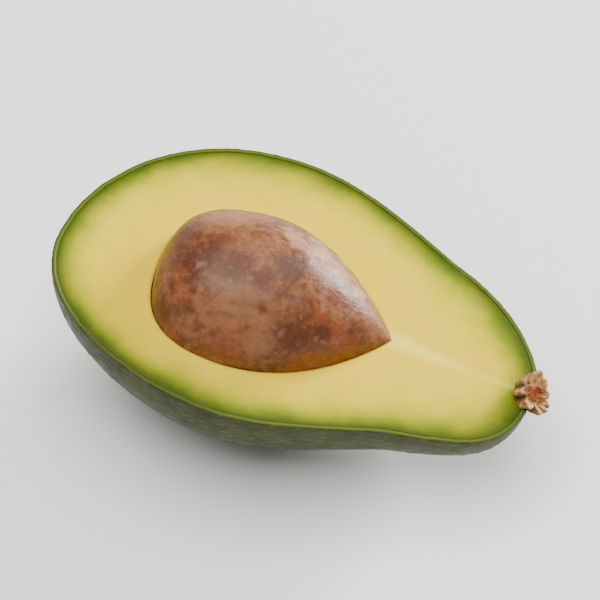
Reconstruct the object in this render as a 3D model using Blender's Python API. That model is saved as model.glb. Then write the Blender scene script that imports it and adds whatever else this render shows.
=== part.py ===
"""Half of a pear-shaped green avocado, cut lengthwise, with its seed and stem button still in place.

The fruit is drawn in its own frame: +X from the blossom end to the stem end, +Y across the cut face,
+Z out of the cut face, which lies at Z = 0. An empty then lays the half down on the small flat spot
under its belly, with the stem end dipped and the middle of that spot at the world's origin.
Lengths are in metres, and world +Z is up.
"""

import math

import bmesh
import bpy
import numpy as np
from mathutils import Matrix, Vector
from mathutils.geometry import interpolate_bezier

# The fruit's outline. Half-widths run from the line that joins the middles of the two ends.
FRUIT_LENGTH = 0.1125
BELLY_FROM_BLOSSOM = 0.0464
NECK_FROM_STEM = 0.0245
BROAD_BELLY = 0.0362  # the +Y side
BROAD_NECK = 0.0238
NARROW_BELLY = 0.0355  # the -Y side
NARROW_NECK = 0.0234
KEEL_BELLY = 0.0350  # down, away from the cut face
KEEL_NECK = 0.0228
BLOSSOM_Y = -0.0060  # the blossom end sits a little off the middle
STEM_Y = -0.0007

# Its layers, and how it lies.
SKIN_THICKNESS = 0.0010
SKIN_GAP = 0.0003  # between the skin and the flesh, which are separate solids
STEM_END_DIP_DEG = 6.9
FLAT_SPOT_PRESS = 0.0010  # how far the belly is pressed flat

# The seed: a pointed egg on its side, sunk a little into the flesh.
SEED_LENGTH = 0.0548
SEED_DIAMETER = 0.0400
SEED_BELLY_FROM_BASE = 0.0211
SEED_FROM_BLOSSOM = 0.0236
SEED_BASE_Y = -0.0042
SEED_BASE_SINK = 0.0050
SEED_YAW_DEG = 3.8
SEED_PITCH_DEG = 5.2
SEED_CLEARANCE = 0.0003

# The stem button: a root in the flesh, a flared collar and a broken stub.
BUTTON_ROOT_DIAMETER = 0.0052
BUTTON_ROOT_LENGTH = 0.0016
COLLAR_DIAMETER = 0.0090
COLLAR_THICKNESS = 0.0034
STUB_DIAMETER = 0.0052
STUB_LENGTH = 0.0026
BUTTON_FROM_STEM = 0.0030  # from the fruit's stem end back to the middle of its root's end
BUTTON_SINK = 0.0024  # how far that point lies under the cut face
BUTTON_PITCH_DEG = 52.0
BUTTON_CLEARANCE = 0.0003

# How finely each piece is divided.
FRUIT_AROUND = 40
FRUIT_ALONG = 32
SEED_AROUND = 28
BUTTON_AROUND = 24
CURVE_STEPS = 48

ON_PLANE = 1e-6  # points this close to a cut count as on it
COLLAR_ROUNDING = 0.0006
SMOOTH_BELOW_DEG = 35


def bezier(start, start_handle, end_handle, end, steps):
    """Points along one cubic Bezier span."""
    return [Vector(p) for p in interpolate_bezier(start, start_handle, end_handle, end, steps)]


def fruit_side(belly, neck, rise, reach, taper, shoulder, blossom, stem):
    """One side of the outline as (x, half-width) arrays: blossom end, belly, neck, stem end.

    rise and reach are how full the round end is across and along, taper how steeply the neck
    narrows, and shoulder how full the stem end is.
    """
    neck_at = FRUIT_LENGTH - NECK_FROM_STEM
    belly_to_neck = neck_at - BELLY_FROM_BLOSSOM
    along_neck = Vector((1, -taper)).normalized()
    blossom_end = Vector((0, blossom))
    belly_point = Vector((BELLY_FROM_BLOSSOM, belly))
    neck_point = Vector((neck_at, neck))
    stem_end = Vector((FRUIT_LENGTH, stem))
    spans = (
        bezier(
            blossom_end,
            blossom_end + Vector((0, rise * belly)),
            belly_point - Vector((reach * BELLY_FROM_BLOSSOM, 0)),
            belly_point,
            CURVE_STEPS,
        ),
        bezier(
            belly_point,
            belly_point + Vector((0.37 * belly_to_neck, 0)),
            neck_point - 0.25 * belly_to_neck * along_neck,
            neck_point,
            CURVE_STEPS,
        ),
        bezier(
            neck_point,
            neck_point + shoulder * NECK_FROM_STEM * along_neck,
            stem_end + Vector((0, shoulder * neck)),
            stem_end,
            CURVE_STEPS,
        ),
    )
    points = np.array([point[:2] for span in spans for point in span])
    return points[:, 0], points[:, 1]


BROAD_SIDE = fruit_side(BROAD_BELLY, BROAD_NECK, 0.53, 0.66, 0.33, 0.45, BLOSSOM_Y, STEM_Y)
NARROW_SIDE = fruit_side(NARROW_BELLY, NARROW_NECK, 0.56, 0.42, 0.25, 0.70, -BLOSSOM_Y, -STEM_Y)
KEEL = fruit_side(KEEL_BELLY, KEEL_NECK, 0.44, 0.61, 0.29, 0.58, 0.0, 0.0)


def on_fruit(direction):
    """The point of the fruit's surface that a point of the unit sphere is pushed to."""
    x = FRUIT_LENGTH * (1 + direction.x) / 2
    round_section = math.hypot(direction.y, direction.z) or 1.0
    broad = np.interp(x, *BROAD_SIDE)
    narrow = np.interp(x, *NARROW_SIDE)
    keel = np.interp(x, *KEEL)
    middle = (broad - narrow) / 2
    half_width = (broad + narrow) / 2
    y = middle + half_width * direction.y / round_section
    z = keel * direction.z / round_section
    return Vector((x, y, z))


def whole_fruit(inset):
    """The uncut fruit's surface, moved in by inset, as a bmesh."""
    body = bmesh.new()
    poles_to_ends = Matrix.Rotation(math.radians(90), 4, "Y")
    bmesh.ops.create_uvsphere(
        body,
        u_segments=FRUIT_AROUND,
        v_segments=FRUIT_ALONG,
        radius=1.0,
        matrix=poles_to_ends,
    )
    for vert in body.verts:
        at_pole = abs(vert.co.x) > 1 - ON_PLANE
        vert.co = on_fruit(Vector((round(vert.co.x), 0, 0)) if at_pole else vert.co)
    bmesh.ops.recalc_face_normals(body, faces=body.faces)
    body.normal_update()
    for vert in body.verts:
        vert.co -= inset * vert.normal
    return body


# World up, seen from the fruit's own frame, and the height of the plane that the half rests on.
UP = Matrix.Rotation(math.radians(-STEM_END_DIP_DEG), 3, "Y") @ Vector((0, 0, 1))


def lowest_height():
    body = whole_fruit(0.0)
    lowest = min(vert.co.dot(UP) for vert in body.verts)
    body.free()
    return lowest


FLAT_SPOT_HEIGHT = lowest_height() + FLAT_SPOT_PRESS


def cut_and_fill(body, point, normal):
    """Cuts away what lies beyond a plane and closes the hole with one flat face."""
    everything = body.verts[:] + body.edges[:] + body.faces[:]
    bmesh.ops.bisect_plane(
        body,
        geom=everything,
        dist=ON_PLANE,
        plane_co=point,
        plane_no=normal,
        clear_outer=True,
    )
    open_edges = [edge for edge in body.edges if edge.is_boundary]
    made = bmesh.ops.holes_fill(body, edges=open_edges, sides=0)
    bmesh.ops.recalc_face_normals(body, faces=body.faces)
    return made["faces"]


def fruit_body(inset, halved):
    """The fruit moved in by inset, pressed flat underneath, and cut along its length if halved."""
    body = whole_fruit(inset)
    flat_spot = cut_and_fill(body, (FLAT_SPOT_HEIGHT + inset) * UP, -UP)
    middle = flat_spot[0].calc_center_median_weighted()
    if halved:
        cut_and_fill(body, Vector((0, 0, 0)), Vector((0, 0, 1)))
    return body, middle


def turned(profile, steps):
    """A closed solid of revolution about +X, from (x, radius) points that start and end on the axis."""
    body = bmesh.new()
    verts = [body.verts.new((x, 0, radius)) for x, radius in profile]
    edges = [body.edges.new(pair) for pair in zip(verts, verts[1:])]
    bmesh.ops.spin(
        body,
        geom=verts + edges,
        cent=(0, 0, 0),
        axis=(1, 0, 0),
        angle=math.radians(360),
        steps=steps,
        use_merge=True,
    )
    bmesh.ops.remove_doubles(body, verts=body.verts, dist=ON_PLANE)
    bmesh.ops.recalc_face_normals(body, faces=body.faces)
    return body


def grown(body, distance):
    """The same surface moved out by distance."""
    body.normal_update()
    for vert in body.verts:
        vert.co += distance * vert.normal
    return body


def seed_profile():
    """From the round base, over the belly, to the pointed end."""
    radius = SEED_DIAMETER / 2
    belly_to_tip = SEED_LENGTH - SEED_BELLY_FROM_BASE
    belly = Vector((SEED_BELLY_FROM_BASE, radius))
    tip = Vector((SEED_LENGTH, 0))
    base_span = bezier(
        Vector((0, 0)),
        Vector((0, 0.70 * radius)),
        belly - Vector((0.72 * SEED_BELLY_FROM_BASE, 0)),
        belly,
        12,
    )
    tip_span = bezier(
        belly,
        belly + Vector((0.48 * belly_to_tip, 0)),
        tip + Vector((-0.16 * belly_to_tip, 0.38 * radius)),
        tip,
        14,
    )
    return [point[:2] for point in base_span + tip_span[1:]]


def button_inner_profile():
    """The root inside the flesh, and the collar out to its widest."""
    root = BUTTON_ROOT_DIAMETER / 2
    collar = COLLAR_DIAMETER / 2
    collar_end = BUTTON_ROOT_LENGTH + COLLAR_THICKNESS
    return [
        (0, 0),
        (0, root - COLLAR_ROUNDING),
        (COLLAR_ROUNDING, root),
        (BUTTON_ROOT_LENGTH, root + COLLAR_ROUNDING),
        (BUTTON_ROOT_LENGTH + COLLAR_THICKNESS / 2, collar - COLLAR_ROUNDING / 2),
        (collar_end - COLLAR_ROUNDING, collar),
    ]


def button_profile():
    """The button's own outline, which goes on over the collar's face to the end of the stub."""
    collar = COLLAR_DIAMETER / 2
    stub = STUB_DIAMETER / 2
    collar_end = BUTTON_ROOT_LENGTH + COLLAR_THICKNESS
    stub_end = collar_end + STUB_LENGTH
    return button_inner_profile() + [
        (collar_end, collar - COLLAR_ROUNDING),
        (collar_end, stub + COLLAR_ROUNDING),
        (collar_end + COLLAR_ROUNDING, stub),
        (stub_end - COLLAR_ROUNDING, stub),
        (stub_end, stub - COLLAR_ROUNDING),
        (stub_end, 0),
    ]


def socket_profile():
    """The hole that the button grew in, which stays as wide as the collar out through the skin."""
    mouth = BUTTON_ROOT_LENGTH + COLLAR_THICKNESS + STUB_LENGTH
    return button_inner_profile() + [(mouth, COLLAR_DIAMETER / 2), (mouth, 0)]


def placed(x, y, z, yaw_deg, pitch_deg):
    """Where a turned piece starts, and how far its axis turns to +Y and then rises to +Z."""
    yaw = Matrix.Rotation(math.radians(yaw_deg), 4, "Z")
    pitch = Matrix.Rotation(math.radians(-pitch_deg), 4, "Y")
    return Matrix.Translation((x, y, z)) @ yaw @ pitch


def principled(name, colour, roughness):
    material = bpy.data.materials.new(name)
    material.use_nodes = True
    shader = material.node_tree.nodes["Principled BSDF"]
    shader.inputs["Base Color"].default_value = (*colour, 1.0)
    shader.inputs["Roughness"].default_value = roughness
    shader.inputs["Metallic"].default_value = 0.0
    return material


def piece(name, body, fruit, matrix=None, material=None):
    """Makes a bmesh an object that lies in the fruit's frame."""
    mesh = bpy.data.meshes.new(name)
    body.to_mesh(mesh)
    body.free()
    mesh.shade_smooth()
    mesh.set_sharp_from_angle(angle=math.radians(SMOOTH_BELOW_DEG))
    made = bpy.data.objects.new(name, mesh)
    bpy.context.scene.collection.objects.link(made)
    made.parent = fruit
    made.matrix_local = matrix or Matrix.Identity(4)
    if material:
        mesh.materials.append(material)
    return made


def cutter(name, body, fruit, matrix=None):
    made = piece(name, body, fruit, matrix)
    made.hide_render = True
    made.display_type = "WIRE"
    return made


def cut(target, tool):
    boolean = target.modifiers.new(tool.name, "BOOLEAN")
    boolean.operation = "DIFFERENCE"
    boolean.solver = "EXACT"
    boolean.object = tool


def main():
    for old in list(bpy.data.objects):
        bpy.data.objects.remove(old)

    skin_body, flat_middle = fruit_body(0.0, halved=True)
    fruit = bpy.data.objects.new("fruit_frame", None)
    bpy.context.scene.collection.objects.link(fruit)
    fruit.rotation_euler = (0, math.radians(STEM_END_DIP_DEG), 0)
    fruit.location = -(fruit.rotation_euler.to_matrix() @ flat_middle)

    skin = piece("skin", skin_body, fruit, material=principled("skin", (0.045, 0.075, 0.012), 0.35))
    inside_skin, _ = fruit_body(SKIN_THICKNESS, halved=False)
    cut(skin, cutter("inside_skin", inside_skin, fruit))

    flesh_body, _ = fruit_body(SKIN_THICKNESS + SKIN_GAP, halved=True)
    flesh = piece("flesh", flesh_body, fruit, material=principled("flesh", (0.72, 0.60, 0.17), 0.45))

    seed_at = placed(SEED_FROM_BLOSSOM, SEED_BASE_Y, -SEED_BASE_SINK, SEED_YAW_DEG, SEED_PITCH_DEG)
    seed_body = turned(seed_profile(), SEED_AROUND)
    piece("seed", seed_body, fruit, seed_at, principled("seed", (0.36, 0.16, 0.08), 0.5))
    seed_hollow = grown(turned(seed_profile(), SEED_AROUND), SEED_CLEARANCE)
    cut(flesh, cutter("seed_hollow", seed_hollow, fruit, seed_at))

    button_at = placed(FRUIT_LENGTH - BUTTON_FROM_STEM, STEM_Y, -BUTTON_SINK, 0, BUTTON_PITCH_DEG)
    button_body = turned(button_profile(), BUTTON_AROUND)
    piece("stem_button", button_body, fruit, button_at, principled("stem_button", (0.30, 0.13, 0.05), 0.8))
    button_socket = grown(turned(socket_profile(), BUTTON_AROUND), BUTTON_CLEARANCE)
    socket = cutter("button_socket", button_socket, fruit, button_at)
    cut(flesh, socket)
    cut(skin, socket)


main()
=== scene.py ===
# %% [markdown]
# # Half an avocado with its stone
#
# A ripe avocado has been cut lengthwise round its stone, and one half lies on its belly with the stone
# still in place. Four pieces show: the pebbled peel, the flesh that is yellow inside and green under the
# peel, the stone in its papery brown coat, and the woody button where the stalk broke off.
#
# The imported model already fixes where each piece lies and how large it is. Every piece here is built to the
# same outlines, only far more finely, and stands in for its plain solid. Part of mathutils' noise starts from
# the clock, so it gets a seed of its own first, and the half comes out the same each time.

import math

import bmesh
import bpy
import numpy as np
from mathutils import Matrix, Vector, kdtree, noise
from mathutils.geometry import interpolate_bezier


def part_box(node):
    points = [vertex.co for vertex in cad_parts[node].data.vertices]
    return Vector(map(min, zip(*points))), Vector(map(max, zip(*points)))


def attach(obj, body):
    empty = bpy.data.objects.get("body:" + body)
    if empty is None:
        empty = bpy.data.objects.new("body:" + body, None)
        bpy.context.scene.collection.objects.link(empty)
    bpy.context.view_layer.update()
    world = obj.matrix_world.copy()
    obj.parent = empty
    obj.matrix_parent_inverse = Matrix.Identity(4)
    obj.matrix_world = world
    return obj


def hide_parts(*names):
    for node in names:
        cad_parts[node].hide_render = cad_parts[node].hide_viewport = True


NOISE_SEED = 1
noise.seed_set(NOISE_SEED)
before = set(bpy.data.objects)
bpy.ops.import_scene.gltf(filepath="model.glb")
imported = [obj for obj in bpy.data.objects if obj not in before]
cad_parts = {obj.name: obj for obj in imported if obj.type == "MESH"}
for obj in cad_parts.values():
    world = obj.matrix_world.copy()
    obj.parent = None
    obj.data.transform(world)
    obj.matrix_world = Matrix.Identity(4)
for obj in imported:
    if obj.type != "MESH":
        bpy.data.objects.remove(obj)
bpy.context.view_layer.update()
print("packed nodes:", ", ".join(sorted(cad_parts)))

# %% [markdown]
# ## The fruit's outline
#
# The real fruit is a pear with a round belly, a narrower neck and a blunt stem end, and it grew a little
# lopsided, so its two sides differ. One side could be a row of measured points, but three Bezier spans say
# the same with less: round the blossom end, along the flank and round the stem end, each leaving in the
# direction that the peel runs in. The same function draws the keel, which is how deep the half is under the
# cut.

# %% Draw the two sides and the keel
MM = 0.001
FRUIT_LENGTH = 112.5 * MM
BELLY_FROM_BLOSSOM = 46.4 * MM
NECK_FROM_STEM = 24.5 * MM
BLOSSOM_Y = -6.0 * MM
STEM_Y = -0.7 * MM
SPAN_STEPS = 64


def span(start, start_handle, end_handle, end):
    """Points along one Bezier span."""
    return [point[:2] for point in interpolate_bezier(start, start_handle, end_handle, end, SPAN_STEPS)]


def fruit_side(belly, neck, rise, fill, taper, shoulder, blossom, stem):
    """Half-widths along the fruit, as (x, width) arrays.

    rise and fill round the blossom end, taper narrows the neck, and shoulder fills the stem end.
    """
    neck_at = FRUIT_LENGTH - NECK_FROM_STEM
    reach = neck_at - BELLY_FROM_BLOSSOM
    along_neck = Vector((1, -taper)).normalized()
    start = Vector((0, blossom))
    widest = Vector((BELLY_FROM_BLOSSOM, belly))
    waist = Vector((neck_at, neck))
    end = Vector((FRUIT_LENGTH, stem))
    round_end = span(
        start,
        start + Vector((0, rise * belly)),
        widest - Vector((fill * BELLY_FROM_BLOSSOM, 0)),
        widest,
    )
    flank = span(
        widest,
        widest + Vector((0.37 * reach, 0)),
        waist - 0.25 * reach * along_neck,
        waist,
    )
    stem_end = span(
        waist,
        waist + shoulder * NECK_FROM_STEM * along_neck,
        end + Vector((0, shoulder * neck)),
        end,
    )
    points = np.array(round_end + flank + stem_end)
    return points[:, 0], points[:, 1]


broad_side = fruit_side(36.2 * MM, 23.8 * MM, 0.53, 0.66, 0.33, 0.45, BLOSSOM_Y, STEM_Y)
narrow_side = fruit_side(35.5 * MM, 23.4 * MM, 0.56, 0.42, 0.25, 0.70, -BLOSSOM_Y, -STEM_Y)
keel = fruit_side(35.0 * MM, 22.8 * MM, 0.44, 0.61, 0.29, 0.58, 0.0, 0.0)
print("widest, mm:", round(1000 * (broad_side[1].max() + narrow_side[1].max()), 1))

# %% [markdown]
# ## Moulding the fruit
#
# Peel and flesh share one shape, which is a bowl pushed out onto the outlines. Cutting a whole ball in two
# would work too, but half a turn of an arc makes the bowl at once, with its two poles at the ends of the
# fruit and its open edge exactly on the cut. Each section is a half ellipse, as wide as the two sides and
# as deep as the keel.

# %% Spin a bowl and push it out onto the outlines
ON_PLANE = 1e-6


def on_fruit(directions):
    """Where points of the unit sphere land on the fruit's surface."""
    x = FRUIT_LENGTH * (1 + directions[:, 0]) / 2
    across = np.maximum(np.hypot(directions[:, 1], directions[:, 2]), ON_PLANE)
    broad = np.interp(x, *broad_side)
    narrow = np.interp(x, *narrow_side)
    y = (broad - narrow) / 2 + (broad + narrow) / 2 * directions[:, 1] / across
    z = np.interp(x, *keel) * directions[:, 2] / across
    return np.column_stack((x, y, z))


def around(items, linked):
    """What the items link to, once each and in a fixed order."""
    return list(dict.fromkeys(other for item in items for other in getattr(item, linked)))


def add_half(body, segments, stations, inset):
    """Adds the half fruit, open at the cut and moved in by inset, and returns its vertices."""
    before = set(body.verts)
    turns = np.linspace(0, math.pi, stations + 1)
    arc = [body.verts.new((-math.cos(turn), math.sin(turn), 0)) for turn in turns]
    edges = [body.edges.new(pair) for pair in zip(arc, arc[1:])]
    bmesh.ops.spin(
        body,
        geom=arc + edges,
        cent=(0, 0, 0),
        axis=(-1, 0, 0),
        angle=math.pi,
        steps=segments,
    )
    spun = [vert for vert in body.verts if vert not in before]
    bmesh.ops.remove_doubles(body, verts=spun, dist=ON_PLANE)
    verts = [vert for vert in body.verts if vert not in before]
    for vert, place in zip(verts, on_fruit(np.array([vert.co for vert in verts]))):
        vert.co = place
    bmesh.ops.recalc_face_normals(body, faces=around(verts, "link_faces"))
    if min(verts, key=lambda vert: vert.co.z).normal.z > 0:
        bmesh.ops.reverse_faces(body, faces=around(verts, "link_faces"))
    body.normal_update()
    for vert in verts:
        outward = vert.normal.copy()
        if vert.is_boundary:
            outward.z = 0
        vert.co -= inset * outward.normalized()
    return verts


# %% [markdown]
# ## Lying down
#
# The half rests on its belly with the stem end dipped a little, and its own weight presses a small flat
# spot into the peel. Everything is modelled in the fruit's own frame, with the cut level, and is laid down
# last. The flat spot comes from lifting whatever lies under it up to one plane. How far the half moves is
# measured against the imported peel, so that both lie in the same place. A coarse half is enough to measure.

# %% Find how the half lies
DIP = Matrix.Rotation(math.radians(6.9), 4, "Y")
UP = (DIP.inverted() @ Vector((0, 0, 1))).normalized()
FLAT_SPOT_PRESS = 1.0 * MM
PROBE_AROUND = 40
PROBE_STATIONS = 64


def press_flat(verts, inset):
    """Lifts what lies under the flat spot's plane up to it."""
    for vert in verts:
        lift = flat_height + inset - vert.co.dot(UP)
        if lift > 0:
            vert.co += lift * UP


probe = bmesh.new()
add_half(probe, PROBE_AROUND, PROBE_STATIONS, 0.0)
flat_height = min(vert.co.dot(UP) for vert in probe.verts) + FLAT_SPOT_PRESS
laid = np.array([DIP @ vert.co for vert in probe.verts])
probe.free()
packed_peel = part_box("skin")
shift = (packed_peel[0] + packed_peel[1]) / 2 - Vector((laid.min(axis=0) + laid.max(axis=0)) / 2)
shift.z = -flat_height
LAY_DOWN = Matrix.Translation(shift) @ DIP
print("the blossom end lies at, mm:", [round(1000 * side, 2) for side in shift])

# %% [markdown]
# ## Growing a surface ring by ring
#
# The cut edge of the peel, the face of the flesh and the hollow under the stone are all bands that run
# right round an opening. Extruding the open ring of edges and moving its copy to the next place gives even
# quads that follow the shape. Each column of the band remembers its number, so a place is looked up in an
# array.

# %% Extrude an open ring once
def open_edges(body):
    """How many edges lack two faces: none on a closed body."""
    return sum(len(edge.link_faces) != 2 for edge in body.edges)


def open_ring(verts):
    """Numbers the vertices on the open edge."""
    ring = [vert for vert in verts if vert.is_valid and vert.is_boundary]
    return {vert: number for number, vert in enumerate(ring)}


def next_ring(body, ring, places):
    """Extrudes the ring, moves its copy to places[number], and returns the copy."""
    edges = [edge for edge in around(ring, "link_edges") if edge.is_boundary]
    edges = [edge for edge in edges if edge.verts[0] in ring and edge.verts[1] in ring]
    made = bmesh.ops.extrude_edge_only(body, edges=edges)["geom"]
    copy = {}
    for vert in made:
        if isinstance(vert, bmesh.types.BMVert):
            neighbours = [edge.other_vert(vert) for edge in vert.link_edges]
            number = next(ring[other] for other in neighbours if other in ring)
            vert.co = places[number]
            copy[vert] = number
    return copy


def rise(value, start, width):
    """0 up to start, 1 from start + width on, and smooth between them."""
    share = min(max((value - start) / width, 0.0), 1.0)
    return share * share * (3 - 2 * share)


def fall(value, end, width):
    """1 up to end - width, 0 from end on, and smooth between them."""
    return rise(end, value, width)


def rough(point, size, octaves=3):
    """Fractal noise from about -1 to 1, with lumps of about this size."""
    return noise.fractal(point / size, 0.7, 2.1, octaves)


# %% [markdown]
# ## The peel
#
# The peel is a leathery shell a millimetre thick, covered in low pebbles with creases between them, which
# is what breaks its shine into small lights. A bump map would leave its edge smooth, so the pebbles are real
# shape: the cells of a Voronoi pattern, warped a little so that no two are alike, raise each vertex along
# its normal. The cut edge is grown from the outer rim inwards, and stands slightly proud, as drying peel
# does.

# %% Raise the pebbles
PEEL_AROUND = 250
STATIONS = 320
INSIDE_AROUND = 16
PEEL_THICKNESS = 1.0 * MM
PEBBLE = 2.0 * MM
PEBBLE_HEIGHT = 0.15 * MM
INNER_RIM = -0.4 * MM
CUT_EDGE = ((0.10, 0.05), (0.28, 0.11), (0.52, 0.13), (0.78, 0.09), (0.94, 0.02), (1.0, -0.10))


def pebble_at(point):
    """0 in the creases between pebbles, and 1 on top of one."""
    warp = noise.noise_vector(point / (1.7 * PEBBLE)) * 0.35
    nearest, second = noise.voronoi(point / PEBBLE + warp)[0][:2]
    return rise(second - nearest, 0.0, 0.8)


def raise_pebbles(verts, pebble):
    """Lifts the vertices onto the pebbles and stores how far up each one lies."""
    for vert in verts:
        vert[pebble] = pebble_at(vert.co)
        calm = 0.5 + 0.5 * rise(rough(vert.co, 12 * MM), -0.5, 1.0)
        height = PEBBLE_HEIGHT * calm * (vert[pebble] - 0.5)
        height += 0.10 * MM * rough(vert.co, 8 * MM) + 0.012 * MM * rough(vert.co, 0.9 * MM, 2)
        vert.co += height * vert.normal


# %% Build the peel
def build_peel():
    body = bmesh.new()
    pebble = body.verts.layers.float.new("pebble")
    into_peel = body.verts.layers.float.new("into_peel")
    outside = add_half(body, PEEL_AROUND, STATIONS, 0.0)
    rim = open_ring(outside)
    inward = -np.array([vert.normal for vert in rim]) * (1, 1, 0)
    inward /= np.linalg.norm(inward, axis=1)[:, None]
    raise_pebbles(outside, pebble)
    for vert in rim:
        vert.co.z = 0
    press_flat(outside, 0.0)
    edge = np.array([vert.co for vert in rim])
    curl = np.array([rough(Vector(place), 5 * MM) for place in edge])
    for across, height in CUT_EDGE:
        places = edge + across * PEEL_THICKNESS * inward
        places[:, 2] += MM * height * (1 + 0.5 * curl)
        rim = next_ring(body, rim, places)
        for vert in rim:
            vert[into_peel] = across
    inside = add_half(body, INSIDE_AROUND, STATIONS, PEEL_THICKNESS)
    press_flat(inside, PEEL_THICKNESS)
    for vert in inside:
        vert[into_peel] = 1
        if vert.is_boundary:
            vert.co.z = INNER_RIM
    bmesh.ops.bridge_loops(body, edges=[edge for edge in body.edges if edge.is_boundary])
    bmesh.ops.recalc_face_normals(body, faces=body.faces)
    return body


peel_body = build_peel()
print("peel:", len(peel_body.verts), "vertices;", open_edges(peel_body), "open edges")

# %% [markdown]
# ## The stone's shape
#
# The stone is a pointed egg on its side, sunk a little under the cut, and its tip points at the stem. Its
# outline is turned about its own axis. The flesh grew round it, so the hollow is the same outline, a touch
# larger, and both read the stone's radius from one curve.

# %% Draw the stone's outline
STONE_LENGTH = 54.8 * MM
STONE_RADIUS = 20.0 * MM
STONE_BELLY = 21.1 * MM
STONE_START = Vector((23.6 * MM, -4.2 * MM, -5.0 * MM))
STONE_YAW = Matrix.Rotation(math.radians(3.8), 4, "Z")
STONE_PITCH = Matrix.Rotation(math.radians(-5.2), 4, "Y")
STONE_PLACE = Matrix.Translation(STONE_START) @ STONE_YAW @ STONE_PITCH

belly_to_tip = STONE_LENGTH - STONE_BELLY
stone_belly = Vector((STONE_BELLY, STONE_RADIUS))
stone_tip = Vector((STONE_LENGTH, 0))
base_half = span(
    Vector((0, 0)),
    Vector((0, 0.70 * STONE_RADIUS)),
    stone_belly - Vector((0.72 * STONE_BELLY, 0)),
    stone_belly,
)
tip_half = span(
    stone_belly,
    stone_belly + Vector((0.48 * belly_to_tip, 0)),
    stone_tip + Vector((-0.16 * belly_to_tip, 0.38 * STONE_RADIUS)),
    stone_tip,
)
stone_outline = np.array(base_half + tip_half[1:])
print("stone, mm:", round(1000 * STONE_LENGTH, 1), "long,", round(2000 * STONE_RADIUS, 1), "across")

# %% [markdown]
# ## The flesh
#
# The knife leaves a nearly flat, buttery face. It rounds over where the soft flesh meets the peel and at
# the stone, and it keeps faint waves from the blade. One flat face over the opening could hold none of that,
# so rings run across the face from the peel to the stone, closest together at both edges, and then on down
# into the hollow until they meet at its bottom. The wall of the hollow is found by looking out from a point
# inside it and halving the distance until it is exact.

# %% Find the hollow by looking out from inside it
FLESH_AROUND = 24
FLESH_GAP = 0.03 * MM
HOLLOW_SCALE = 1.003
FACE_RINGS = 76
HOLLOW_RINGS = 22
LIP_WIDTH = 0.9 * MM
LIP_DROP = 0.28 * MM
EDGE_WIDTH = 0.7 * MM
EDGE_DROP = 0.10 * MM
HALVINGS = 30
LOOKOUT = Vector((48.0 * MM, -2.4 * MM, 0))


def to_hollow(directions):
    """How far the hollow's wall is from the lookout in each direction, by halving the interval."""
    inverse = np.array(STONE_PLACE.inverted())
    middle = np.array((STONE_LENGTH / 2, 0, 0))
    near = np.zeros(len(directions))
    far = np.full(len(directions), STONE_LENGTH)
    for _ in range(HALVINGS):
        reach = (near + far) / 2
        points = np.array(LOOKOUT) + reach[:, None] * directions
        local = points @ inverse[:3, :3].T + inverse[:3, 3]
        local = middle + (local - middle) / HOLLOW_SCALE
        radius = np.interp(local[:, 0], stone_outline[:, 0], stone_outline[:, 1], left=-1, right=-1)
        inside = np.hypot(local[:, 1], local[:, 2]) < radius
        near = np.where(inside, reach, near)
        far = np.where(inside, far, reach)
    return near


def face_height(place, from_peel, from_stone):
    """How far a point of the cut face lies above or below the knife's plane."""
    waves = 0.05 * MM * rough(place, 7 * MM) + 0.012 * MM * rough(place, 1.3 * MM)
    drag = 0.010 * MM * math.sin(place.y / (0.9 * MM) + 3 * rough(place, 12 * MM))
    calm = rise(from_stone, 0.0, LIP_WIDTH)
    lip = LIP_DROP * (1 - calm) ** 2
    edge = EDGE_DROP * (1 - rise(from_peel, 0.0, EDGE_WIDTH)) ** 2
    return (waves + drag) * calm - lip - edge


# %% Build the flesh
def build_flesh():
    body = bmesh.new()
    inset = PEEL_THICKNESS + FLESH_GAP
    shell = add_half(body, FLESH_AROUND, STATIONS, inset)
    press_flat(shell, inset)
    ring = open_ring(shell)
    outer = np.array([vert.co for vert in ring])
    toward = outer - np.array(LOOKOUT)
    length = np.linalg.norm(toward, axis=1)
    toward /= length[:, None]
    lip = to_hollow(toward)
    for step in range(FACE_RINGS + 1):
        share = (1 - math.cos(math.pi * step / FACE_RINGS)) / 2
        reach = length + share * (lip - length)
        places = np.array(LOOKOUT) + reach[:, None] * toward
        for place, from_peel, from_stone in zip(places, length - reach, reach - lip):
            place[2] = face_height(Vector(place), from_peel, from_stone)
        if step == 0:
            for vert, number in ring.items():
                vert.co = places[number]
        else:
            ring = next_ring(body, ring, places)
    for step in range(1, HOLLOW_RINGS + 1):
        dip = math.radians(90) * (step / HOLLOW_RINGS) ** 1.3
        directions = toward * math.cos(dip) - np.array((0, 0, math.sin(dip)))
        places = np.array(LOOKOUT) + to_hollow(directions)[:, None] * directions
        ring = next_ring(body, ring, places)
    bmesh.ops.pointmerge(body, verts=list(ring), merge_co=places[0])
    bmesh.ops.recalc_face_normals(body, faces=body.faces)
    return body


flesh_body = build_flesh()
print("flesh:", len(flesh_body.verts), "vertices;", open_edges(flesh_body), "open edges")
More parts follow.
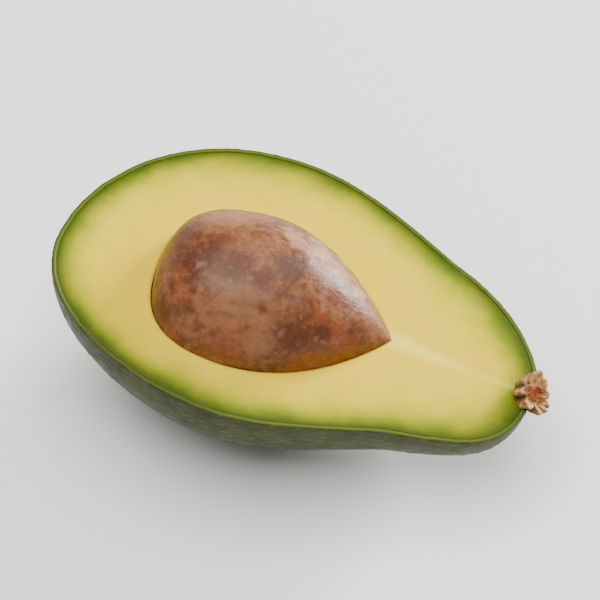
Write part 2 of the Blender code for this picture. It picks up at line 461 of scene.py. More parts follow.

# %% [markdown]
# ## The stone
#
# A real stone is never a true egg. It has broad dents and lumps, low wrinkles that run from base to tip,
# and a net of fine veins under its coat. A full turn of the outline gives the egg, and noise of several
# sizes then moves each vertex along its normal by tenths of a millimetre. The coat also carries marks that
# noise wouldn't put in the right place, such as a bruise and a stained tip, so they are listed one by one,
# each by how far along it lies, its angle round the axis and its radius, in millimetres and degrees.

# %% Turn the stone and work its surface
STONE_AROUND = 220
STONE_STEPS = 150
STONE_SUNK = 0.04 * MM
MARKS = {
    "stained": (
        (10, 108, 4.5), (14, 98, 4.5), (20, 102, 4.5), (26, 106, 3.0), (36, 141, 5.0), (42, 136, 3.5),
        (48, 127, 3.0), (28, 125, 1.3), (5, 150, 4.0), (5, 80, 5.0), (20, 240, 7.0), (33, 300, 6.0),
        (16, 20, 5.0),
    ),
    "bruised": ((32, 91, 3.6), (29, 92, 2.6), (18, 200, 5.0)),
    "worn": (
        (7.8, 117, 2.0), (9.6, 131, 2.4), (22, 157, 5.0), (40.5, 120, 1.8), (44, 129, 2.2),
        (46, 150, 4.0), (40, 168, 4.5), (30, 330, 7.0), (50, 60, 4.0),
    ),
    "pale": ((21, 130, 8.0), (29, 148, 5.0), (14, 60, 6.0), (25, 10, 7.0)),
    # painted highlight: pale pinkish patches on the stone's far shoulder, where the light shines
    "painted_highlight": ((30, 62, 3.5), (35, 58, 4.5), (41, 56, 4.0), (46, 60, 2.5), (22, 330, 4.0)),
}


def turned(outline, steps):
    """A closed solid turned about the X axis, from points that start and end on it."""
    body = bmesh.new()
    verts = [body.verts.new((x, 0, radius)) for x, radius in outline]
    edges = [body.edges.new(pair) for pair in zip(verts, verts[1:])]
    bmesh.ops.spin(
        body,
        geom=verts + edges,
        cent=(0, 0, 0),
        axis=(1, 0, 0),
        angle=math.radians(360),
        steps=steps,
        use_merge=True,
    )
    bmesh.ops.remove_doubles(body, verts=body.verts, dist=ON_PLANE)
    bmesh.ops.recalc_face_normals(body, faces=body.faces)
    body.normal_update()
    return body


def evenly(outline, steps):
    """The same outline with its points evenly spaced along it."""
    gone = np.concatenate(([0], np.cumsum(np.linalg.norm(np.diff(outline, axis=0), axis=1))))
    wanted = np.linspace(0, gone[-1], steps + 1)
    return np.column_stack([np.interp(wanted, gone, outline[:, axis]) for axis in (0, 1)])


def vein_at(point):
    """1 along the veins of the stone's coat, and 0 between them."""
    stretched = Vector((point.x * 0.45, point.y, point.z)) / (5.5 * MM)
    warp = noise.noise_vector(point / (6 * MM)) * 0.7
    nearest, second = noise.voronoi(stretched + warp)[0][:2]
    return 1 - rise(second - nearest, 0.0, 0.12)


def mark_at(point, marks):
    """How strongly a list of marks shows at a point: 1 in the middle of one, and 0 outside them all."""
    shown = 0.0
    for along, angle, radius in marks:
        along *= MM
        width = np.interp(along, stone_outline[:, 0], stone_outline[:, 1])
        turn = math.radians(angle)
        middle = Vector((along, width * math.cos(turn), width * math.sin(turn)))
        shown = max(shown, 1 - (point - middle).length / (1.5 * radius * MM))
    return shown


def build_stone():
    body = turned(evenly(stone_outline, STONE_STEPS), STONE_AROUND)
    layers = {name: body.verts.layers.float.new(name) for name in ("vein", "streak", *MARKS)}
    for vert in body.verts:
        along = Vector((vert.co.x * 0.22, vert.co.y, vert.co.z))
        for name, marks in MARKS.items():
            vert[layers[name]] = mark_at(vert.co, marks)
        vert[layers["vein"]] = vein_at(vert.co)
        vert[layers["streak"]] = 0.5 + 0.5 * rough(along, 2.2 * MM)
        lump = 0.22 * MM * rough(vert.co, 16 * MM) + 0.05 * MM * rough(vert.co, 3.5 * MM)
        skin = 0.018 * MM * rough(vert.co, 0.8 * MM, 2) + 0.045 * MM * vert[layers["vein"]]
        wrinkle = 0.05 * MM * (vert[layers["streak"]] - 0.5)
        vert.co += (lump - STONE_SUNK + skin + wrinkle) * vert.normal
    bmesh.ops.transform(body, matrix=STONE_PLACE, verts=body.verts)
    return body


stone_body = build_stone()
print("stone:", len(stone_body.verts), "vertices;", sum(len(marks) for marks in MARKS.values()), "marks")

# %% [markdown]
# ## The button
#
# Where the stalk broke off, a small woody button is left: a root in the flesh, a collar that split into
# petals as it dried and curled open, and a slantwise torn stub in the middle. It is turned like the stone.
# Each vertex is then moved, so that the collar is pinched between its petals and the stub's end is torn,
# which gives one closed body with real clefts. The same numbers say how much painted shade darkens a
# vertex, most in the clefts, and how much of the orange heart shows there, so they are stored for the finish.

# %% Turn the button and split its collar
BUTTON_START = Vector((109.5 * MM, STEM_Y, -2.4 * MM))
BUTTON_PITCH = Matrix.Rotation(math.radians(-52), 4, "Y")
BUTTON_PLACE = Matrix.Translation(BUTTON_START) @ BUTTON_PITCH
BUTTON_AROUND = 200
BUTTON_STEPS = 110
PETALS = 10
CLEFT_PINCH = 0.22
FIBRE_PINCH = 0.12
PETAL_CURL = 0.35 * MM
ROOT_END = 1.6 * MM
DISH = 4.1 * MM
DARKEST = 0.85
BUTTON_OUTLINE = (
    (0.0, 0.0), (0.0, 2.0), (0.6, 2.6), (1.4, 3.0), (2.3, 3.8), (3.4, 4.4), (4.5, 4.7), (5.2, 4.5),
    (5.3, 3.9), (4.9, 3.2), (4.3, 2.5), (4.1, 1.9), (4.5, 1.6), (5.6, 1.4), (6.4, 1.2), (6.6, 0.9),
    (6.4, 0.5), (6.3, 0.0),
)


def round_axis(angle, along):
    """A place for noise that has to meet itself after a full turn."""
    return Vector((math.cos(angle), math.sin(angle), along))


def cleft_at(angle):
    """1 in the middle of the deepest cleft between two petals, and 0 on a petal."""
    wander = 2.0 * math.sin(angle + 1) + 1.2 * math.sin(2 * angle + 4) + 0.8 * math.sin(3 * angle)
    depth = 0.35 + 0.65 * rise(rough(round_axis(angle, 5), 0.9, 1), -0.5, 1.0)
    return depth * (0.5 + 0.5 * math.cos(PETALS * angle + wander)) ** 3


def work_wood(vert, dark, heart):
    """Splits, curls and tears the plain button at one vertex, and stores how it is coloured there."""
    along = vert.co.x
    radius = math.hypot(vert.co.y, vert.co.z)
    angle = math.atan2(vert.co.z, vert.co.y)
    stub = rise(along, DISH, 0.8 * MM) * fall(radius, 2.2 * MM, 0.5 * MM)
    collar = rise(along, 0.8 * MM, 1.4 * MM) * (1 - stub)
    cleft = cleft_at(angle) * collar * rise(radius, 1.9 * MM, MM)
    fibres = rough(round_axis(angle, along / (7 * MM)), 0.35)
    uneven = rough(round_axis(angle, 0.3), 0.5, 2)

    reach = 1 + (0.06 * math.sin(3 * angle + 2) + 0.14 * uneven) * collar
    pinch = (1 - CLEFT_PINCH * cleft) * (1 + FIBRE_PINCH * fibres) * reach
    vert.co.y *= pinch
    vert.co.z *= pinch
    curl = collar * rise(radius, 3 * MM, 1.5 * MM)
    vert.co.x += curl * PETAL_CURL * (1 - 2.2 * cleft) * (1 + math.sin(2 * angle))
    torn = rough(Vector((vert.co.y, vert.co.z, 0)), 0.8 * MM)
    slant = 0.9 * MM * (1 - 2.0 * vert.co.y / (1.5 * MM)) - 0.6 * MM * torn
    vert.co.x -= stub * rise(along, 4.8 * MM, 2.2 * MM) * slant

    spur = stub * rise(vert.co.y, 0.5 * MM, MM)
    vert[heart] = fall(radius, 2.3 * MM, MM) * rise(along, 3.6 * MM, MM) * (1 - 0.8 * spur)
    shaded = 0.30 * fall(uneven, 0.35, 1.0) * collar
    root = 0.4 * fall(along, ROOT_END, MM)
    # painted shade: the clefts between petals are darkened through the dark attribute
    vert[dark] = min(DARKEST, 0.8 * cleft + shaded + 0.5 * max(0.0, -fibres) + root)


def build_button():
    body = turned(evenly(MM * np.array(BUTTON_OUTLINE), BUTTON_STEPS), BUTTON_AROUND)
    dark = body.verts.layers.float.new("dark")
    heart = body.verts.layers.float.new("heart")
    for vert in body.verts:
        work_wood(vert, dark, heart)
    bmesh.ops.transform(body, matrix=BUTTON_PLACE, verts=body.verts)
    return body


button_body = build_button()
print("button:", len(button_body.verts), "vertices;", PETALS, "petals")

# %% [markdown]
# ## Setting the button in
#
# The button grew into the fruit, so peel and flesh have a socket for it. A Boolean cuts it exactly, with the
# button's own outline below its collar as the cutter, and is applied at once so that the pieces stay simple
# meshes. The socket stays as wide as the collar out through the peel, or it would trap a loose ring of
# flesh. A Boolean leaves needle-thin faces and many-sided ones along its cut. The needles are dissolved and
# the many-sided faces are split up, or an exported mesh could hold stray triangles there.

# %% Turn a bmesh into an object
def as_object(name, body):
    """Adds a bmesh to the scene as an object, and frees it."""
    mesh = bpy.data.meshes.new(name)
    body.to_mesh(mesh)
    body.free()
    made = bpy.data.objects.new(name, mesh)
    bpy.context.scene.collection.objects.link(made)
    return made


# %% Cut a socket and mend the cut
SOCKET_AROUND = 64
SOCKET_GAP = 0.10 * MM
NEAR_SOCKET = 15 * MM
NEEDLE = 0.01 * MM
MOST_SIDES = 4
SOCKET_OUTLINE = (
    (0.0, 0.0), (0.0, 2.0), (0.6, 2.6), (1.4, 3.0), (2.3, 3.8), (3.4, 4.3), (14.0, 4.3), (14.0, 0.0)
)


def mend_cut(piece, mesh):
    """Dissolves the needles near the socket and splits the faces with too many sides."""
    body = bmesh.new()
    body.from_mesh(mesh)
    near = [edge for edge in body.edges if (edge.verts[0].co - BUTTON_START).length < NEAR_SOCKET]
    bmesh.ops.dissolve_degenerate(body, edges=near, dist=NEEDLE)
    many_sided = [face for face in body.faces if len(face.verts) > MOST_SIDES]
    bmesh.ops.triangulate(body, faces=many_sided)
    print(piece.name, "after the cut:", len(body.faces), "faces,", open_edges(body), "open edges")
    body.to_mesh(mesh)
    body.free()


def cut_socket(piece):
    """Cuts the button's socket out of a piece."""
    body = turned(MM * np.array(SOCKET_OUTLINE), SOCKET_AROUND)
    for vert in body.verts:
        vert.co += SOCKET_GAP * vert.normal
    bmesh.ops.transform(body, matrix=BUTTON_PLACE, verts=body.verts)
    cutter = as_object("socket", body)
    boolean = piece.modifiers.new("socket", "BOOLEAN")
    boolean.solver = "EXACT"
    boolean.object = cutter
    bpy.context.view_layer.update()
    graph = bpy.context.evaluated_depsgraph_get()
    cut = bpy.data.meshes.new_from_object(piece.evaluated_get(graph))
    mend_cut(piece, cut)
    piece.modifiers.clear()
    piece.data = cut
    bpy.data.objects.remove(cutter)


# %% Make the pieces
peel = as_object("pebbled_peel", peel_body)
flesh = as_object("buttery_flesh", flesh_body)
stone = as_object("papery_stone", stone_body)
button = as_object("woody_button", button_body)
cut_socket(peel)
cut_socket(flesh)
pieces = (peel, flesh, stone, button)
for piece in pieces:
    print(piece.name, len(piece.data.polygons), "faces")

# %% [markdown]
# ## What the materials need to know
#
# Some colours follow the fruit and not the room: the flesh turns green near the peel, most of all by the
# stem, and paler by the stone, and a pale strand runs from the stone's tip to the stem. Those distances are
# measured once for each vertex and stored as attributes, in millimetres, which a shader reads however the
# piece is turned.

# %% Measure the flesh's distances
RIM_AROUND = 4
STRAND_FADE = 3.0


def store(piece, name, values):
    """Stores one number for each vertex."""
    attribute = piece.data.attributes.new(name, "FLOAT", "POINT")
    attribute.data.foreach_set("value", np.asarray(values, np.float32))


def distances_to(points, targets):
    """The distance from each point to the nearest target."""
    tree = kdtree.KDTree(len(targets))
    for number, target in enumerate(targets):
        tree.insert(target, number)
    tree.balance()
    return np.array([tree.find(point)[2] for point in points])


def rim_points(inset):
    """The cut outline, moved in by inset."""
    body = bmesh.new()
    ring = open_ring(add_half(body, RIM_AROUND, 2 * STATIONS, inset))
    points = [vert.co.copy() for vert in ring]
    body.free()
    return points


flesh_points = [vert.co.copy() for vert in flesh.data.vertices]
stone_points = [vert.co.copy() for vert in stone.data.vertices]
tip = STONE_PLACE @ Vector((STONE_LENGTH, 0, 0))
stem = Vector((FRUIT_LENGTH, STEM_Y, 0))


def off_strand(point):
    """How far a point lies off the pale strand, in millimetres; the strand fades towards the stem."""
    along = (stem - tip).normalized()
    gone = (point - tip).dot(along)
    before = max(-gone, 0)
    faded = STRAND_FADE * max(gone, 0) / (stem - tip).length
    return ((point - tip - gone * along).length + before) / MM + faded


# %% Store them as attributes
store(flesh, "from_peel", distances_to(flesh_points, rim_points(PEEL_THICKNESS)) / MM)
store(flesh, "from_stone", distances_to(flesh_points, stone_points) / MM)
store(flesh, "off_strand", [off_strand(point) for point in flesh_points])
store(flesh, "from_stem", [(point - stem).length / MM for point in flesh_points])
print("flesh attributes:", ", ".join(a.name for a in flesh.data.attributes if a.domain == "POINT"))

# %% [markdown]
# ## Shader building blocks
#
# Every finish here is uneven in the same two ways: soft blotches where one colour drifts into another, and
# small specks. Both are node groups with named inputs, built once and placed in each material with its own
# values, so that a change to one shows everywhere. Short helpers put a node in a tree and fill or link its
# sockets in one go, which keeps each material readable as a recipe.

# %% Put a node in a tree
def put(tree, kind, sockets, **settings):
    """Adds a shader node. A socket's value is a number, a colour, or another node's output to link."""
    node = tree.nodes.new("ShaderNode" + kind)
    for name, value in settings.items():
        setattr(node, name, value)
    for name, value in sockets.items():
        if isinstance(value, bpy.types.NodeSocket):
            tree.links.new(value, node.inputs[name])
        else:
            node.inputs[name].default_value = value
    return node


def colour(red, green, blue):
    """A colour from a swatch card, 0 to 255, as the linear values that shaders mix."""
    parts = [part / 255 for part in (red, green, blue)]
    linear = [part / 12.92 if part <= 0.04045 else ((part + 0.055) / 1.055) ** 2.4 for part in parts]
    return (*linear, 1.0)


def ramp(tree, factor, stops):
    """A colour ramp with (place, colour) stops."""
    node = put(tree, "ValToRGB", {"Fac": factor})
    elements = node.color_ramp.elements
    while len(elements) < len(stops):
        elements.new(1.0)
    for element, (place, shade) in zip(elements, stops):
        element.position = place
        element.color = shade
    return node.outputs["Color"]


def mixed(tree, amount, first, second):
    """first where amount is 0, second where it is 1."""
    node = put(tree, "Mix", {}, data_type="RGBA")
    for socket, value in ((0, amount), (6, first), (7, second)):
        if isinstance(value, bpy.types.NodeSocket):
            tree.links.new(value, node.inputs[socket])
        else:
            node.inputs[socket].default_value = value
    return node.outputs[2]


def math_of(tree, operation, first, second):
    return put(tree, "Math", {0: first, 1: second}, operation=operation).outputs["Value"]


def attribute(tree, name):
    return put(tree, "Attribute", {}, attribute_name=name).outputs["Fac"]


def fade(tree, value, start, end, low=0.0, high=1.0):
    """low where value is start, high where it is end, and smooth between them."""
    node = put(
        tree,
        "MapRange",
        {"Value": value, "From Min": start, "From Max": end, "To Min": low, "To Max": high},
        interpolation_type="SMOOTHSTEP",
    )
    return node.outputs["Result"]


def between(tree, share, low, high):
    """Spreads a share from 0 to 1 evenly between low and high."""
    return put(tree, "MapRange", {"Value": share, "To Min": low, "To Max": high}).outputs["Result"]


def share_of(tree, value, start, end):
    """How far value has come from start to end, from 0 to 1."""
    return put(tree, "MapRange", {"Value": value, "From Min": start, "From Max": end}).outputs["Result"]


def tinted(tree, base, pattern, strength, shade):
    """base, turned towards shade by strength where the pattern is 1."""
    return mixed(tree, math_of(tree, "MULTIPLY", pattern, strength), base, shade)


# %% [markdown]
# ## Shared groups
#
# Soft patches are noise whose middle range is stretched to run from 0 to 1, so Low and High say how much of
# the surface they cover. Specks are some of the cells of a Voronoi pattern: each cell draws a lot, and only
# those under Share are filled.

# %% Build the shared groups
def new_group(name, inputs, output):
    """An empty group with a Vector, named number inputs and one number output."""
    group = bpy.data.node_groups.new(name, "ShaderNodeTree")
    group.interface.new_socket("Vector", in_out="INPUT", socket_type="NodeSocketVector")
    for socket_name, value in inputs.items():
        socket = group.interface.new_socket(socket_name, in_out="INPUT", socket_type="NodeSocketFloat")
        socket.default_value = value
    group.interface.new_socket(output, in_out="OUTPUT", socket_type="NodeSocketFloat")
    return group, group.nodes.new("NodeGroupInput"), group.nodes.new("NodeGroupOutput")


def make_blotches():
    """Soft patches: noise, with everything under Low turned to 0 and everything over High to 1."""
    inputs = {"Scale": 100.0, "Detail": 4.0, "Low": 0.4, "High": 0.6}
    group, given, result = new_group("blotches", inputs, "Amount")
    pattern = put(group, "TexNoise", {name: given.outputs[name] for name in ("Vector", "Scale", "Detail")})
    spread = fade(group, pattern.outputs["Fac"], given.outputs["Low"], given.outputs["High"])
    group.links.new(spread, result.inputs["Amount"])
    return group


def make_specks():
    """Scattered round specks: some cells of a Voronoi pattern, filled near their middles."""
    inputs = {"Scale": 400.0, "Size": 0.25, "Share": 0.3}
    group, given, result = new_group("specks", inputs, "Amount")
    cells = put(group, "TexVoronoi", {name: given.outputs[name] for name in ("Vector", "Scale")})
    lot = put(group, "SeparateColor", {"Color": cells.outputs["Color"]})
    chosen = math_of(group, "LESS_THAN", lot.outputs["Red"], given.outputs["Share"])
    wobble = between(group, lot.outputs["Green"], 0.5, 1.0)
    size = math_of(group, "MULTIPLY", given.outputs["Size"], wobble)
    near = fade(group, cells.outputs["Distance"], size, 0.0)
    group.links.new(math_of(group, "MULTIPLY", near, chosen), result.inputs["Amount"])
    return group


blotch_group = make_blotches()
speck_group = make_specks()
print("shared groups:", blotch_group.name, "and", speck_group.name)

# %% [markdown]
# ## Placing the groups
#
# A material calls for a pattern by name, with the place on the piece that it is drawn at. Scale is how many
# lumps or cells fit in a metre, so 1000 makes them a millimetre wide.

# %% Place a group in a material
def pattern_node(tree, group, vector, values):
    """Places a group with its own values, and returns its amount."""
    node = put(tree, "Group", {}, node_tree=group)
    for name, value in values.items():
        node.inputs[name].default_value = value
    tree.links.new(vector, node.inputs["Vector"])
    return node.outputs["Amount"]


def blotches(tree, vector, scale, detail, low, high):
    values = {"Scale": scale, "Detail": detail, "Low": low, "High": high}
    return pattern_node(tree, blotch_group, vector, values)


def specks(tree, vector, scale, size, share):
    return pattern_node(tree, speck_group, vector, {"Scale": scale, "Size": size, "Share": share})


def jitter(tree, vector, scale, detail, low, high, width):
    """Blotches that push a value up and down over this width."""
    centred = math_of(tree, "SUBTRACT", blotches(tree, vector, scale, detail, low, high), 0.5)
    return math_of(tree, "MULTIPLY", centred, width)


def new_material(name):
    """A material with only its Principled shader, and the piece's Object coordinates."""
    material = bpy.data.materials.new(name)
    material.use_nodes = True
    tree = material.node_tree
    place = put(tree, "TexCoord", {}).outputs["Object"]
    return material, tree, tree.nodes["Principled BSDF"], place


def finish_surface(tree, shader, base, roughness, height, bump):
    """Links colour, roughness and bump to the shader; bump is the height of 1, in metres."""
    tree.links.new(base, shader.inputs["Base Color"])
    tree.links.new(roughness, shader.inputs["Roughness"])
    relief = put(tree, "Bump", {"Height": height, "Strength": 1.0, "Distance": bump})
    tree.links.new(relief.outputs["Normal"], shader.inputs["Normal"])


def put_on(piece, material):
    """Gives a piece its finish as its only material."""
    piece.data.materials.clear()
    piece.data.materials.append(material)
    print(material.name, "finish:", len(material.node_tree.nodes), "nodes")


# %% [markdown]
# ## Peel finish
#
# The peel is a deep green, yellower on the pebbles, with painted shade darkening the creases between them,
# brown patches, scattered pale pores and a waxy, broken shine. Its cut edge shows the paler inner layers. The
# pebble attribute tells creases from tops, and the distance in from the rim draws the layers of the cut edge.

# %% Finish the peel
def make_peel_finish():
    material, tree, shader, place = new_material("peel")
    pebble = attribute(tree, "pebble")
    drift = blotches(tree, place, 70, 3, 0.35, 0.65)
    # painted shade: the creases between pebbles are coloured darker than the pebble tops
    shaded_crease = mixed(tree, drift, colour(46, 52, 9), colour(54, 60, 12))
    top = mixed(tree, drift, colour(58, 66, 13), colour(74, 80, 20))
    green = mixed(tree, pebble, shaded_crease, top)
    brown = blotches(tree, place, 160, 5, 0.58, 0.72)
    green = tinted(tree, green, brown, 0.4, colour(66, 58, 20))
    pores = specks(tree, place, 420, 0.24, 0.30)
    green = tinted(tree, green, pores, 0.4, colour(116, 120, 44))
    depth = attribute(tree, "into_peel")
    layers = ramp(
        tree,
        depth,
        (
            (0.0, colour(48, 56, 12)),
            (0.25, colour(64, 73, 16)),
            (0.55, colour(86, 95, 20)),
            (0.80, colour(84, 96, 17)),
            (1.0, colour(70, 84, 10)),
        ),
    )
    base = mixed(tree, share_of(tree, depth, 0.02, 0.12), green, layers)
    wax = blotches(tree, place, 260, 4, 0.3, 0.7)
    grain = blotches(tree, place, 2600, 3, 0.3, 0.7)
    finish_surface(tree, shader, base, between(tree, wax, 0.40, 0.54), grain, 0.02 * MM)
    shader.inputs["Specular IOR Level"].default_value = 0.14
    return material


put_on(peel, make_peel_finish())

# %% [markdown]
# ## Flesh finish
#
# From the peel inwards the flesh runs from dark green through yellow-green to butter yellow within about
# seven millimetres, and by the stem these bands spread by nearly half. The flesh is palest by the stone and
# along the strand that joins it to the stem, and a thin brown line of painted shade darkens it where it meets
# the stone.
# Noise pushes the bands in and out, because real ones never keep an even width. Light sinks a few
# millimetres in, so a little subsurface scattering softens the lip, and the moist surface keeps a low,
# uneven roughness.

# %% Colour the flesh in bands
BAND = 14.0
BAND_COLOURS = (
    (0.0, colour(56, 74, 3)),
    (0.8 / BAND, colour(64, 84, 4)),
    (1.5 / BAND, colour(84, 102, 5)),
    (2.3 / BAND, colour(108, 122, 6)),
    (3.1 / BAND, colour(132, 141, 7)),
    (4.0 / BAND, colour(158, 159, 9)),
    (5.0 / BAND, colour(180, 169, 10)),
    (6.5 / BAND, colour(202, 183, 12)),
    (8.5 / BAND, colour(217, 191, 14)),
    (1.0, colour(225, 193, 16)),
)


def flesh_colour(tree, place):
    push = math_of(
        tree,
        "ADD",
        jitter(tree, place, 90, 3, 0.25, 0.75, 1.5),
        jitter(tree, place, 700, 4, 0.25, 0.75, 0.4),
    )
    by_stem = fade(tree, attribute(tree, "from_stem"), 8.0, 45.0, 0.70)
    depth = math_of(tree, "MULTIPLY", attribute(tree, "from_peel"), by_stem)
    inner = share_of(tree, depth, 0.0, 6.0)
    depth = math_of(tree, "ADD", depth, math_of(tree, "MULTIPLY", push, inner))
    flesh_tone = ramp(tree, math_of(tree, "DIVIDE", depth, BAND), BAND_COLOURS)
    by_stone = fade(tree, attribute(tree, "from_stone"), 5.0, 0.4, 0.0, 0.6)
    flesh_tone = mixed(tree, by_stone, flesh_tone, colour(232, 196, 26))
    strand = fade(tree, attribute(tree, "off_strand"), 3.8, 0.2, 0.0, 0.85)
    flesh_tone = mixed(tree, strand, flesh_tone, colour(250, 228, 112))
    cloud = blotches(tree, place, 120, 5, 0.35, 0.7)
    cloudy = math_of(tree, "MULTIPLY", inner, 0.40)
    flesh_tone = tinted(tree, flesh_tone, cloud, cloudy, colour(234, 204, 42))
    deep = blotches(tree, place, 65, 4, 0.45, 0.75)
    deepened = math_of(tree, "MULTIPLY", inner, 0.5)
    flesh_tone = tinted(tree, flesh_tone, deep, deepened, colour(222, 184, 8))
    # painted shade: a thin brown line on the flesh where it meets the stone
    contact_shade = fade(tree, attribute(tree, "from_stone"), 0.55, 0.15, 0.0, 0.7)
    return mixed(tree, contact_shade, flesh_tone, colour(150, 92, 34))


# %% Finish the flesh
def make_flesh_finish():
    material, tree, shader, place = new_material("flesh")
    base = flesh_colour(tree, place)
    moist = blotches(tree, place, 400, 4, 0.3, 0.7)
    grain = blotches(tree, place, 1500, 5, 0.2, 0.8)
    finish_surface(tree, shader, base, between(tree, moist, 0.36, 0.56), grain, 0.03 * MM)
    shader.inputs["Specular IOR Level"].default_value = 0.12
    shader.inputs["Subsurface Weight"].default_value = 0.06
    shader.inputs["Subsurface Radius"].default_value = (1.0, 0.75, 0.2)
    shader.inputs["Subsurface Scale"].default_value = 1.5 * MM
    return material


put_on(flesh, make_flesh_finish())

# %% [markdown]
# ## Stone finish
#
# The stone wears a thin papery coat, dull pinkish brown, worn through to orange-brown near the tip and along
# the base, with dark reddish stains, a few dark specks and a net of veins. Each kind of mark has its own
# strength and shade, and noise gives it a ragged edge. Pale pinkish patches on the far shoulder are a painted
# highlight. A dusty bloom scatters light at grazing angles, which is what sheen is for.

# %% Colour the stone's coat
MARK_SHADES = (
    ("pale", 0.65, colour(152, 101, 67)),
    ("stained", 0.80, colour(86, 42, 24)),
    ("worn", 0.55, colour(146, 74, 34)),
    ("bruised", 0.80, colour(78, 56, 50)),
    # painted highlight: the patches on the far shoulder are coloured pale pinkish
    ("painted_highlight", 0.50, colour(198, 150, 112)),
)


def coat_colour(tree, place, drift):
    coat = mixed(tree, drift, colour(100, 55, 31), colour(128, 77, 46))
    fine = blotches(tree, place, 620, 6, 0.42, 0.60)
    coat = tinted(tree, coat, fine, 0.42, colour(152, 100, 64))
    grime = blotches(tree, place, 780, 6, 0.50, 0.66)
    coat = tinted(tree, coat, grime, 0.45, colour(82, 46, 30))
    ragged = jitter(tree, place, 360, 6, 0.2, 0.8, 0.8)
    for name, strength, shade in MARK_SHADES:
        edge = math_of(tree, "ADD", attribute(tree, name), ragged)
        coat = mixed(tree, fade(tree, edge, 0.05, 0.70, 0.0, strength), coat, shade)
    streak = fade(tree, attribute(tree, "streak"), 0.55, 0.85, 0.0, 0.45)
    coat = mixed(tree, streak, coat, colour(100, 58, 40))
    coat = tinted(tree, coat, attribute(tree, "vein"), 0.25, colour(88, 48, 34))
    dark = specks(tree, place, 330, 0.30, 0.12)
    return tinted(tree, coat, dark, 0.5, colour(62, 34, 22))


# %% Finish the stone
def make_stone_finish():
    material, tree, shader, place = new_material("stone")
    drift = blotches(tree, place, 95, 5, 0.36, 0.64)
    base = coat_colour(tree, place, drift)
    grain = blotches(tree, place, 1800, 5, 0.25, 0.75)
    finish_surface(tree, shader, base, between(tree, drift, 0.32, 0.44), grain, 0.03 * MM)
    shader.inputs["Specular IOR Level"].default_value = 0.25
    shader.inputs["Sheen Weight"].default_value = 0.03
    shader.inputs["Sheen Roughness"].default_value = 0.5
    return material


put_on(stone, make_stone_finish())

# %% [markdown]
# ## Button finish
#
# Dry wood is pale tan where it stands out, with painted shade making its clefts dark brown, and the torn
# stub has an orange-brown heart. The depth that shaped the clefts paints their shade too, so paint and
# shape can't drift apart.

# %% Finish the button
def make_button_finish():
    material, tree, shader, place = new_material("button")
    drift = blotches(tree, place, 900, 4, 0.35, 0.65)
    bark = mixed(tree, drift, colour(208, 162, 96), colour(158, 104, 54))
    core = mixed(tree, drift, colour(188, 98, 46), colour(124, 56, 24))
    wood = mixed(tree, attribute(tree, "heart"), bark, core)
    # painted shade: dark brown where the dark attribute is high, most of all in the clefts
    base = mixed(tree, attribute(tree, "dark"), wood, colour(50, 24, 10))
    grain = blotches(tree, place, 4200, 4, 0.3, 0.7)
    finish_surface(tree, shader, base, between(tree, drift, 0.7, 0.9), grain, 0.08 * MM)
    return material


put_on(button, make_button_finish())

# %% [markdown]
# ## Laying the pieces down
#
# Each piece was made in the fruit's own frame. Its mesh is now turned and moved into place, while its
# object stays at the origin, so that patterns on Object coordinates stay where they are. Each piece then
# stands for its plain solid and moves with the one body that the model has.

# %% Lay the pieces down and hand them over
SMOOTH_BELOW = math.radians(60)

for piece, node in zip(pieces, ("skin", "flesh", "seed", "stem_button")):
    piece.data.transform(LAY_DOWN)
    piece.data.shade_smooth()
    piece.data.set_sharp_from_angle(angle=SMOOTH_BELOW)
    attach(piece, "root")
    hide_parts(node)
    places = np.array([vert.co for vert in piece.data.vertices])
    corners = np.array((places.min(axis=0), places.max(axis=0)))
    off = (corners - np.array(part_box(node))) / MM
    print(piece.name, "differs from its solid by, mm:", np.round(off, 2).tolist())

# %% [markdown]
# ## Floor and light
#
# The half lies on a plain pale floor under soft studio light: a broad softbox overhead, one low behind that
# puts the soft light on the stone's far shoulder, and a bright room all round.

# %% Set the floor and the lights
FLOOR_SIZE = 8.0
FLOOR_SHADE = 0.93
ROOM_BRIGHTNESS = 0.3
WHITE = (1.0, 1.0, 1.0, 1.0)
LIT_POINT = Vector((0, 0, 0.02))


def soft_light(name, place, size, power):
    """A square softbox that faces the half and that the camera can't see."""
    light = bpy.data.lights.new(name, "AREA")
    light.shape = "SQUARE"
    light.size = size
    light.energy = power
    lamp = bpy.data.objects.new(name, light)
    lamp.location = place
    lamp.rotation_euler = (LIT_POINT - Vector(place)).to_track_quat("-Z", "Y").to_euler()
    lamp.visible_camera = False
    bpy.context.scene.collection.objects.link(lamp)


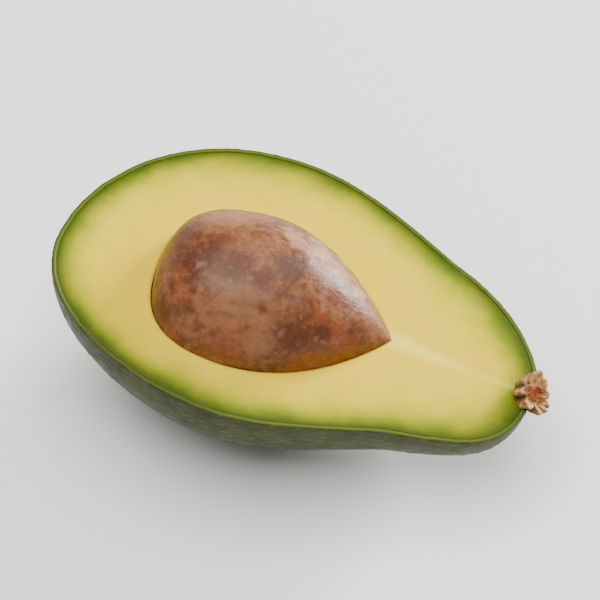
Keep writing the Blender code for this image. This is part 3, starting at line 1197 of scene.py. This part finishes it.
floor_body = bmesh.new()
bmesh.ops.create_grid(floor_body, x_segments=2, y_segments=2, size=FLOOR_SIZE)
floor = as_object("floor", floor_body)
floor_material, _, floor_shader, _ = new_material("pale_floor")
floor_shader.inputs["Base Color"].default_value = (FLOOR_SHADE, FLOOR_SHADE, FLOOR_SHADE, 1.0)
floor_shader.inputs["Roughness"].default_value = 0.6
floor.data.materials.append(floor_material)

soft_light("overhead", (-0.15, -0.05, 1.5), 1.6, 42)
soft_light("behind", (0.70, 1.08, 0.34), 0.46, 42)
world = bpy.data.worlds.new("bright_room")
world.use_nodes = True
room = world.node_tree.nodes["Background"]
room.inputs["Color"].default_value = WHITE
room.inputs["Strength"].default_value = ROOM_BRIGHTNESS
bpy.context.scene.world = world

# %% [markdown]
# ## Camera
#
# The camera stands over the half with a long lens, so that the shape isn't stretched. What it looks at and
# how wide it sees are measured from the finished pieces, which keeps the half in the middle of the picture
# with a little room on either side.

# %% Set the camera
AZIMUTH = math.radians(21)
ELEVATION = math.radians(54.3)
CAMERA_DISTANCE = 1.05
VIEW_TO_HALF = 1.24

back = Vector((
    math.sin(AZIMUTH) * math.cos(ELEVATION),
    -math.cos(AZIMUTH) * math.cos(ELEVATION),
    math.sin(ELEVATION),
))
right = Vector((math.cos(AZIMUTH), math.sin(AZIMUTH), 0))
up = back.cross(right)
seen = np.array([vert.co for piece in pieces for vert in piece.data.vertices])
sideways = seen @ np.array(right)
upward = seen @ np.array(up)
target = right * (sideways.min() + sideways.max()) / 2 + up * (upward.min() + upward.max()) / 2

lens = bpy.data.cameras.new("camera")
camera = bpy.data.objects.new("camera", lens)
bpy.context.scene.collection.objects.link(camera)
camera.location = target + CAMERA_DISTANCE * back
camera.rotation_euler = (-back).to_track_quat("-Z", "Y").to_euler()
lens.lens = lens.sensor_width * CAMERA_DISTANCE / (VIEW_TO_HALF * float(np.ptp(sideways)))
bpy.context.scene.camera = camera
print("lens, mm:", round(lens.lens))

# %% [markdown]
#
# The finished half has to be as large as the imported one.

# %% Finish
bpy.context.view_layer.update()
